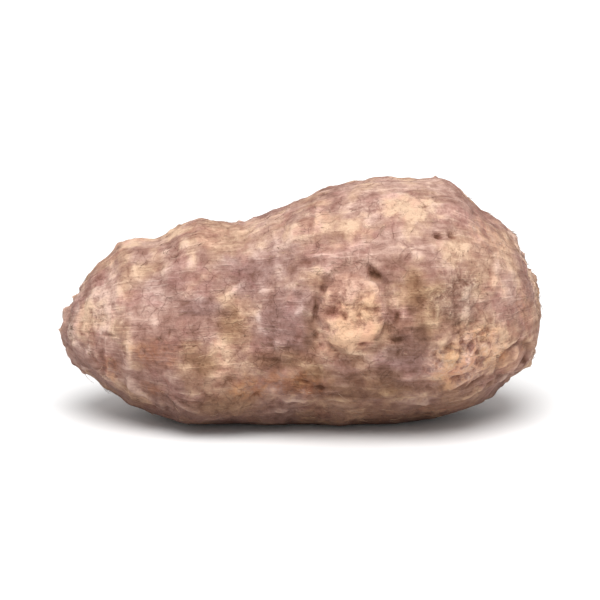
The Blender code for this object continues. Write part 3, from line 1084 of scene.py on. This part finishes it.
def strand_points(place, heading, length, rise, curl):
    """Points from a root just under the skin, along a heading, rising and curling to one side."""
    side = place.out.cross(heading)
    points = []
    for step in range(STRAND_PARTS + 1):
        t = step / STRAND_PARTS
        off = length * rise * (t - 0.35 * t * t) + BOW * math.sin(math.pi * t) - ROOT_DEPTH
        point = place.point + heading * length * t + place.out * off + side * curl * length * t * t
        point.z = max(point.z, OVER_FLOOR)
        points.append(point)
    return points


def finish_piece(piece, material, *nodes):
    """Gives a piece its material and ties it to the corm."""
    piece.data.materials.clear()
    piece.data.materials.append(material)
    only(piece)
    bpy.ops.object.shade_smooth()
    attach(piece, BODY)
    if nodes:
        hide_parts(*nodes)


# Settings


def number_property(name, description, default):
    return IntProperty(name=name, description=description, default=default)


def length_property(name, description, default):
    return FloatProperty(
        name=name, description=description, default=default, unit="LENGTH", precision=5
    )


def angle_property(name, description, default):
    return FloatProperty(name=name, description=description, default=default, subtype="ANGLE")


def colour_property(name, description, default):
    return FloatVectorProperty(
        name=name, description=description, subtype="COLOR", min=0, max=1, default=default
    )


class TaroForm(PropertyGroup):
    around: number_property("Points round", "Points of the skin round the corm", 400)
    along: number_property("Points along", "Points of the skin from end to end", 248)
    skin_layer: length_property("Skin layer", "Thickness of the papery skin", 0.13 * MM)
    ring_ridge: length_property("Ring ridge", "Height of the rings' edges", 0.3 * MM)
    wrinkle: length_property("Wrinkles", "Height of the wrinkles", 0.1 * MM)
    lumps: length_property("Lumps", "Height of the small lumps", 0.5 * MM)
    seed: number_property("Seed", "Draws what the photograph hides, and bends the lumps", 7)


class TaroHairs(PropertyGroup):
    roots: number_property("Roots", "Number of short root hairs", 420)
    fibres: number_property("Fibres", "Number of leaf fibres on the rings", 1300)
    root_length: length_property("Root length", "Longest root hair", 2.6 * MM)
    fibre_length: length_property("Fibre length", "Longest leaf fibre", 2.2 * MM)
    thickness: length_property("Thickness", "Radius of a hair at its root", 0.055 * MM)


class TaroColours(PropertyGroup):
    # Partly the pits' own dark brown, partly painted shade
    hollow: colour_property("Hollow", "Inside of pits and slits", (0.125, 0.052, 0.03))
    brown: colour_property("Brown", "Deepest of the papery skin", (0.205, 0.095, 0.067))
    tan: colour_property("Tan", "Papery skin", (0.315, 0.17, 0.133))
    pale: colour_property("Pale", "Worn skin", (0.445, 0.272, 0.22))
    fleck: colour_property("Fleck", "Raised dry flecks", (0.69, 0.475, 0.39))
    beige: colour_property("Beige", "Stain of the drier skin", (1.0, 0.99, 0.84))
    rose: colour_property("Rose", "Stain of the rosy skin", (1.0, 0.92, 0.94))
    mauve: colour_property("Mauve", "Stain of the smooth skin", (0.9, 0.93, 1.0))
    peach: colour_property("Peach", "Stain of the bud scars", (1.0, 0.92, 0.85))
    clay: colour_property("Clay", "Stain of clay", (0.95, 0.76, 0.6))
    olive: colour_property("Olive", "Stain of dirty skin", (0.86, 0.85, 0.72))
    # Painted shade on the underside, with a little soil stain
    underside_shade_and_dirt: colour_property("Underside shade and dirt", "Painted shade and a little soil stain on the underside", (0.4, 0.36, 0.34))
    hair: colour_property("Hair", "Root hairs", (0.17, 0.09, 0.055))
    pale_hair: colour_property("Pale hair", "Dry leaf fibres", (0.5, 0.33, 0.22))


class TaroStage(PropertyGroup):
    distance: FloatProperty(name="Distance", description="Camera to corm", default=0.8, unit="LENGTH")
    filled: FloatProperty(
        name="Filled", description="Share of the picture's width", default=0.8, subtype="FACTOR"
    )
    elevation: angle_property("Elevation", "Of the camera over the floor", VIEW_ELEVATION)
    floor: FloatProperty(name="Floor", description="Width of the floor", default=6.0, unit="LENGTH")
    light: FloatProperty(name="Light", description="Strength of the light above", default=3.15)
    softness: angle_property("Softness", "How wide the light above is", math.radians(45))
    tilt: angle_property("Tilt", "How far the light leans to the front", math.radians(25))
    sky: FloatProperty(name="Surroundings", description="Strength of the light all round", default=0.6)


# Operators


class TARO_OT_add_skin(Operator):
    """Adds the corm's skin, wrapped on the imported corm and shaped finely"""

    bl_idname = "taro.add_skin"
    bl_label = "Add skin"

    def execute(self, context):
        settings = context.scene.taro_form
        draw = random.Random(settings.seed)
        # Without a seed, noise_vector is another noise at each run
        noise.seed_set(settings.seed)
        ends = BUD_SCARS["mother_end"][0], BUD_SCARS["growing_tip"][0]
        skin = add_even_ball("taro_skin", settings.around, settings.along, ends)
        target = smooth_copy_of_node()
        wrap(skin, target)
        bpy.data.objects.remove(target)
        surface = Surface(skin)
        lay_patches(surface, draw)
        shows = lay_scars(surface)
        edges = lay_rings(surface, shows, settings.ring_ridge)
        lay_paper(surface, shows, edges, settings)
        lay_lumps(surface, shows, settings.lumps)
        lay_marks(surface, draw)
        surface.write()
        finish_piece(skin, skin_look(context.scene.taro_colours), NODE)
        return {"FINISHED"}


class TARO_OT_add_hairs(Operator):
    """Adds short root hairs all over, and dry leaf fibres along the rings"""

    bl_idname = "taro.add_hairs"
    bl_label = "Add hairs and fibres"

    def execute(self, context):
        settings = context.scene.taro_hairs
        draw = random.Random(context.scene.taro_form.seed + 1)
        mesh = bpy.data.objects["taro_skin"].data
        normals = mesh.vertex_normals
        ring = column(mesh.attributes["ring"].data, "value")
        scar = column(mesh.attributes["scar"].data, "value")
        material = hair_look(context.scene.taro_colours)

        def grow(count, longest, wanted):
            """This many strands, at random points that are taken as often as wanted says."""
            strands = []
            while len(strands) < count:
                i = draw.randrange(len(mesh.vertices))
                if draw.random() > wanted(i) or mesh.vertices[i].co.z < BARE_BELOW:
                    continue
                place = Place(mesh.vertices[i].co.copy(), normals[i].vector.copy())
                angle = draw.gauss(0, HEADING_SPREAD)
                heading = place.along * math.cos(angle) + place.round * math.sin(angle)
                length = longest * draw.uniform(SHORTEST, 1.0)
                rise, curl = draw.uniform(*RISE), draw.gauss(0, CURL_SPREAD)
                strands.append(strand_points(place, heading, length, rise, curl))
            return strands

        def root_share(i):
            return 0.25 * (1 - scar[i])

        def fibre_share(i):
            return max(ring[i] - 0.25, 0) * (1 - scar[i])

        roots = grow(settings.roots, settings.root_length, root_share)
        fibres = grow(settings.fibres, settings.fibre_length, fibre_share)
        thin = FIBRE_THICKNESS * settings.thickness
        finish_piece(strands_object("taro_root_hairs", roots, settings.thickness), material)
        finish_piece(strands_object("taro_ring_fibres", fibres, thin), material)
        return {"FINISHED"}


class TARO_OT_add_stage(Operator):
    """Adds a plain pale floor, soft lights and the camera"""

    bl_idname = "taro.add_stage"
    bl_label = "Add stage"

    def execute(self, context):
        settings = context.scene.taro_stage
        self.add_floor(settings)
        self.add_sun(settings)
        world = bpy.data.worlds.new("surroundings")
        context.scene.world = world
        world.use_nodes = True
        background = world.node_tree.nodes["Background"]
        background.inputs["Color"].default_value = (1.0, 1.0, 1.0, 1.0)
        background.inputs["Strength"].default_value = settings.sky
        self.add_camera(context.scene, settings)
        context.scene.view_settings.view_transform = "Standard"
        return {"FINISHED"}

    def add_floor(self, settings):
        bpy.ops.object.select_all(action="DESELECT")
        bpy.ops.mesh.primitive_plane_add(size=settings.floor)
        floor = bpy.context.object
        floor.name = "stage_floor"
        material, shader, _ = new_look("stage_white")
        shader.inputs["Base Color"].default_value = (0.87, 0.87, 0.87, 1.0)
        shader.inputs["Roughness"].default_value = 0.9
        floor.data.materials.append(material)

    def add_sun(self, settings):
        data = bpy.data.lights.new("soft_light", "SUN")
        data.angle = settings.softness
        data.energy = settings.light
        lamp = bpy.data.objects.new("soft_light", data)
        lamp.rotation_euler = (settings.tilt, 0, 0)
        bpy.context.scene.collection.objects.link(lamp)

    def add_camera(self, scene, settings):
        data = bpy.data.cameras.new("camera")
        camera = bpy.data.objects.new("camera", data)
        scene.collection.objects.link(camera)
        aim = (LOW + HIGH) / 2
        back = Vector((0, -math.cos(settings.elevation), math.sin(settings.elevation)))
        camera.location = aim + back * settings.distance
        camera.rotation_euler = (-back).to_track_quat("-Z", "Y").to_euler()
        data.lens = data.sensor_width * settings.filled * settings.distance / (HIGH.x - LOW.x)
        data.clip_start = 0.01
        scene.camera = camera


class TARO_PT_panel(Panel):
    """The settings of each group, and a button for each piece and the stage"""

    bl_idname = "TARO_PT_panel"
    bl_label = "Taro corm"
    bl_space_type = "VIEW_3D"
    bl_region_type = "UI"
    bl_category = "Taro"

    def draw(self, context):
        for group in (context.scene.taro_form, context.scene.taro_hairs, context.scene.taro_colours):
            box = self.layout.box()
            for name in group.__annotations__:
                box.prop(group, name)
        self.layout.operator("taro.add_skin")
        self.layout.operator("taro.add_hairs")
        box = self.layout.box()
        for name in context.scene.taro_stage.__annotations__:
            box.prop(context.scene.taro_stage, name)
        self.layout.operator("taro.add_stage")


GROUPS = {
    "taro_form": TaroForm,
    "taro_hairs": TaroHairs,
    "taro_colours": TaroColours,
    "taro_stage": TaroStage,
}
CLASSES = (*GROUPS.values(), TARO_OT_add_skin, TARO_OT_add_hairs, TARO_OT_add_stage, TARO_PT_panel)


def register():
    for cls in CLASSES:
        bpy.utils.register_class(cls)
    for name, group in GROUPS.items():
        setattr(bpy.types.Scene, name, PointerProperty(type=group))


def unregister():
    for name in GROUPS:
        delattr(bpy.types.Scene, name)
    for cls in reversed(CLASSES):
        bpy.utils.unregister_class(cls)


def main():
    register()
    bpy.ops.taro.add_skin()
    bpy.ops.taro.add_hairs()
    bpy.ops.taro.add_stage()


if __name__ == "__main__":
    main()
